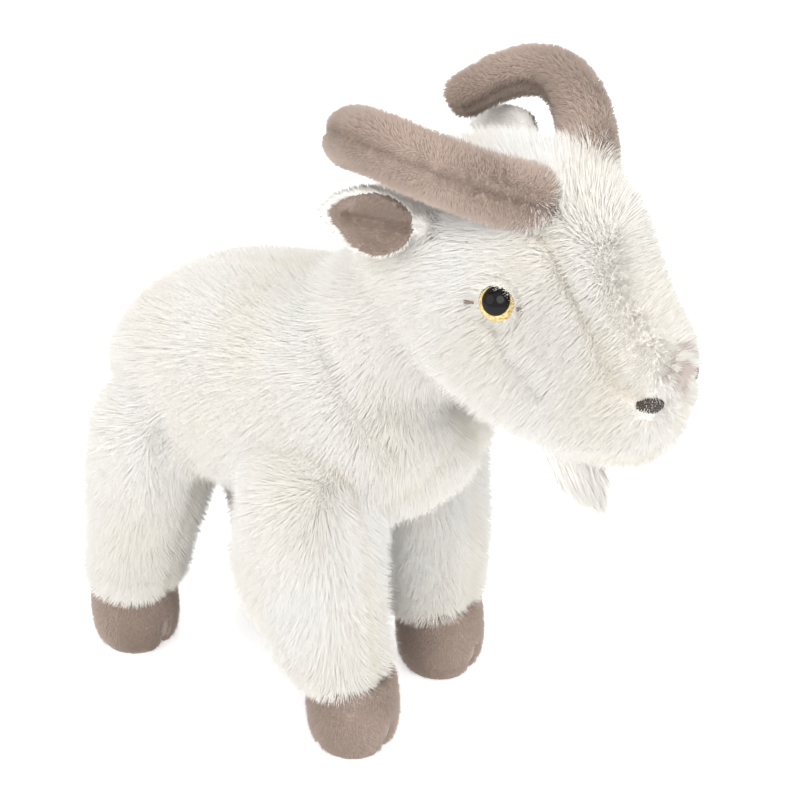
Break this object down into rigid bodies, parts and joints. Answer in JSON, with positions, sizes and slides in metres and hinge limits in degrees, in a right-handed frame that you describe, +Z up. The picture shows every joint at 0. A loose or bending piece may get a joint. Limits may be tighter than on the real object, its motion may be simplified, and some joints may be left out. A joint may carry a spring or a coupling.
{
  "type": "stuffed mountain goat toy",
  "caption": "Standing plush mountain goat with swept-back soft horns, long white pile, beard, ear linings and boot-shaped hooves.",
  "frame": {"origin": "centre of the bounding box at floor level", "axes": "+Z up, the goat looks along -Y and its left side is +X"},
  "size_m": [0.101, 0.2219, 0.2298],
  "materials": {
    "white_plush": "long soft white plush pile",
    "taupe_plush": "short dense taupe plush pile",
    "fibre_filling": "loose polyester fibre",
    "eye_gloss": "polished black dome with a gold rim",
    "washer_plastic": "moulded",
    "dark_embroidery": "satin stitch",
    "nose_embroidery": "short brushed pile"
  },
  "bodies": {
    "torso": {"body_panel_left": "white_plush", "body_panel_right": "white_plush", "belly_panel": "white_plush", "body_stuffing": "fibre_filling"},
    "tail": {"tail_upper": "white_plush", "tail_under": "white_plush"},
    "neck": {"neck_panel_left": "white_plush", "neck_panel_right": "white_plush", "neck_stuffing": "fibre_filling"},
    "head": {"face_gusset": "white_plush", "cheek_panel_left": "white_plush", "cheek_panel_right": "white_plush", "chin_panel": "white_plush", "head_stuffing": "fibre_filling", "nose_patch": "nose_embroidery", "mouth_patches": "dark_embroidery", "beard": "white_plush", "eye_left": "eye_gloss", "eye_right": "eye_gloss", "eye_washer_left": "washer_plastic", "eye_washer_right": "washer_plastic"},
    "horn_left": {"horn_outer_left": "taupe_plush", "horn_inner_left": "taupe_plush", "horn_stuffing_left": "fibre_filling"},
    "horn_right": {"horn_outer_right": "taupe_plush", "horn_inner_right": "taupe_plush", "horn_stuffing_right": "fibre_filling"},
    "ear_left": {"ear_back_left": "white_plush", "ear_lining_left": "taupe_plush"},
    "ear_right": {"ear_back_right": "white_plush", "ear_lining_right": "taupe_plush"},
    "leg_front_left": {"front_left_leg_outer": "white_plush", "front_left_leg_inner": "white_plush", "front_left_leg_stuffing": "fibre_filling", "front_left_hoof": "taupe_plush", "front_left_sole": "taupe_plush"},
    "leg_front_right": {"front_right_leg_outer": "white_plush", "front_right_leg_inner": "white_plush", "front_right_leg_stuffing": "fibre_filling", "front_right_hoof": "taupe_plush", "front_right_sole": "taupe_plush"},
    "leg_hind_left": {"hind_left_leg_outer": "white_plush", "hind_left_leg_inner": "white_plush", "hind_left_leg_stuffing": "fibre_filling", "hind_left_hoof": "taupe_plush", "hind_left_sole": "taupe_plush"},
    "leg_hind_right": {"hind_right_leg_outer": "white_plush", "hind_right_leg_inner": "white_plush", "hind_right_leg_stuffing": "fibre_filling", "hind_right_hoof": "taupe_plush", "hind_right_sole": "taupe_plush"}
  },
  "joints": [
    {"name": "tail_lift", "type": "hinge", "parent": "torso", "child": "tail", "pos_m": [0, 0.096, 0.111], "axis": [1, 0, 0], "range_deg": [0, 30], "stiffness_Nm_per_rad": 0.03},
    {"name": "neck_nod", "type": "hinge", "parent": "torso", "child": "neck", "pos_m": [0, -0.008, 0.14], "axis": [1, 0, 0], "range_deg": [-10, 10], "stiffness_Nm_per_rad": 2.5},
    {"name": "head_turn", "type": "hinge", "parent": "neck", "child": "head", "pos_m": [0, -0.0375, 0.174], "axis": [0, -0.6553, 0.7554], "range_deg": [-15, 15], "stiffness_Nm_per_rad": 1.2},
    {"name": "leg_swing_front_left", "type": "hinge", "parent": "torso", "child": "leg_front_left", "pos_m": [0.029, 0.001, 0.092], "axis": [1, 0, 0], "range_deg": [-12, 12], "stiffness_Nm_per_rad": 1},
    {"name": "leg_swing_front_right", "type": "hinge", "parent": "torso", "child": "leg_front_right", "pos_m": [-0.029, 0.001, 0.092], "axis": [1, 0, 0], "range_deg": [-12, 12], "stiffness_Nm_per_rad": 1},
    {"name": "leg_swing_hind_left", "type": "hinge", "parent": "torso", "child": "leg_hind_left", "pos_m": [0.025, 0.064, 0.092], "axis": [1, 0, 0], "range_deg": [-12, 12], "stiffness_Nm_per_rad": 1},
    {"name": "leg_swing_hind_right", "type": "hinge", "parent": "torso", "child": "leg_hind_right", "pos_m": [-0.025, 0.068, 0.092], "axis": [1, 0, 0], "range_deg": [-12, 12], "stiffness_Nm_per_rad": 1},
    {"name": "ear_swing_left", "type": "hinge", "parent": "head", "child": "ear_left", "pos_m": [0.02831, -0.04033, 0.19734], "axis": [0, 0, -1], "range_deg": [0, 20], "stiffness_Nm_per_rad": 0.02},
    {"name": "horn_flex_left", "type": "hinge", "parent": "head", "child": "horn_left", "pos_m": [0.016, -0.06676, 0.20773], "axis": [1, 0, 0], "range_deg": [-4, 4], "stiffness_Nm_per_rad": 0.3},
    {"name": "ear_swing_right", "type": "hinge", "parent": "head", "child": "ear_right", "pos_m": [-0.02831, -0.04033, 0.19734], "axis": [0, 0, 1], "range_deg": [0, 20], "stiffness_Nm_per_rad": 0.02},
    {"name": "horn_flex_right", "type": "hinge", "parent": "head", "child": "horn_right", "pos_m": [-0.016, -0.06676, 0.20773], "axis": [1, 0, 0], "range_deg": [-4, 4], "stiffness_Nm_per_rad": 0.3}
  ]
}
